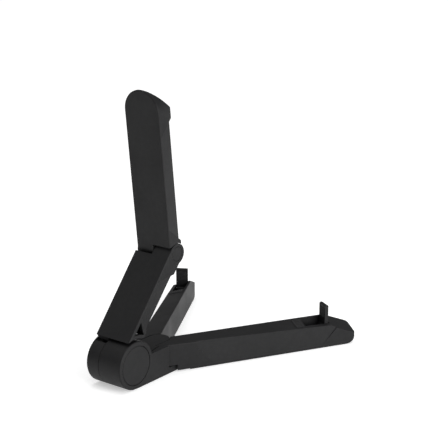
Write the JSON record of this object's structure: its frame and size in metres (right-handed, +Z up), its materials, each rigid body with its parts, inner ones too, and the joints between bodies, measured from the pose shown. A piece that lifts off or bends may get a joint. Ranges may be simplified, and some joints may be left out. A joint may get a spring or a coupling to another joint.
{
  "type": "tablet stand",
  "caption": "Folding tablet stand with a barrel hub, a two-piece tilting back arm, two swinging front legs and flip-up lips.",
  "frame": {"origin": "centre of the hub foot pad's underside, below the barrel's axis", "axes": "+Z up, +Y from the barrel towards the leg tips, +X to the right seen from behind"},
  "size_m": [0.179, 0.1985, 0.2117],
  "materials": {
    "black_abs": "satin",
    "black_silicone": "matte",
    "zinc_steel": "satin",
    "brass": "satin",
    "nylon": "matte",
    "blackened_steel": "satin"
  },
  "bodies": {
    "hub": {"hub_body": "black_abs", "hub_side_cover": "black_abs", "right_pivot_cap": "black_abs", "left_pivot_cap": "black_abs", "main_pivot_bolt": "zinc_steel", "main_pivot_nut": "zinc_steel", "main_spring_washer": "zinc_steel", "main_friction_washers": "nylon", "hub_cover_screws": "blackened_steel", "hub_foot_pad": "black_silicone", "leg_pivot_pin": "zinc_steel", "leg_thrust_washers": "nylon"},
    "lower_arm": {"lower_arm_shell": "black_abs", "lower_arm_inner_cover": "black_abs", "lower_arm_cover_screws": "blackened_steel", "main_pivot_bush": "brass", "mid_hinge_bolt": "zinc_steel", "mid_hinge_nut": "zinc_steel", "mid_spring_washer": "zinc_steel", "mid_friction_washer": "nylon", "right_hinge_cap": "black_abs"},
    "upper_arm": {"upper_arm_shell": "black_abs", "upper_arm_inner_cover": "black_abs", "upper_arm_cover_screws": "blackened_steel", "upper_arm_tip_pad": "black_silicone", "left_hinge_cap": "black_abs"},
    "right_leg": {"right_leg_shell": "black_abs", "right_leg_bottom_cover": "black_abs", "right_leg_cover_screws": "blackened_steel", "right_leg_foot_pad": "black_silicone", "right_rest_pad": "black_silicone", "right_lip_pin": "zinc_steel"},
    "right_lip": {"right_flip_lip": "black_abs", "right_lip_grip": "black_silicone"},
    "left_leg": {"left_leg_shell": "black_abs", "left_leg_bottom_cover": "black_abs", "left_leg_cover_screws": "blackened_steel", "left_leg_foot_pad": "black_silicone", "left_rest_pad": "black_silicone", "left_lip_pin": "zinc_steel"},
    "left_lip": {"left_flip_lip": "black_abs", "left_lip_grip": "black_silicone"}
  },
  "joints": [
    {"name": "arm_tilt", "type": "hinge", "parent": "hub", "child": "lower_arm", "pos_m": [0, 0, 0.018], "axis": [1, 0, 0], "range_deg": [-48.5, 8]},
    {"name": "upper_arm_fold", "type": "hinge", "parent": "lower_arm", "child": "upper_arm", "pos_m": [0, 0.047, 0.09004], "axis": [1, 0, 0], "range_deg": [-46, 33]},
    {"name": "right_leg_swing", "type": "hinge", "parent": "hub", "child": "right_leg", "pos_m": [0, 0.0435, 0], "axis": [0, 0, -1], "range_deg": [-29, 0]},
    {"name": "right_lip_flip", "type": "hinge", "parent": "right_leg", "child": "right_lip", "pos_m": [0.07126, 0.15721, 0.0152], "axis": [-0.8746, 0.4848, 0], "range_deg": [-90, 0]},
    {"name": "left_leg_swing", "type": "hinge", "parent": "hub", "child": "left_leg", "pos_m": [0, 0.0435, 0], "axis": [0, 0, 1], "range_deg": [-29, 0]},
    {"name": "left_lip_flip", "type": "hinge", "parent": "left_leg", "child": "left_lip", "pos_m": [-0.07126, 0.15721, 0.0152], "axis": [-0.8746, -0.4848, 0], "range_deg": [-90, 0]}
  ]
}
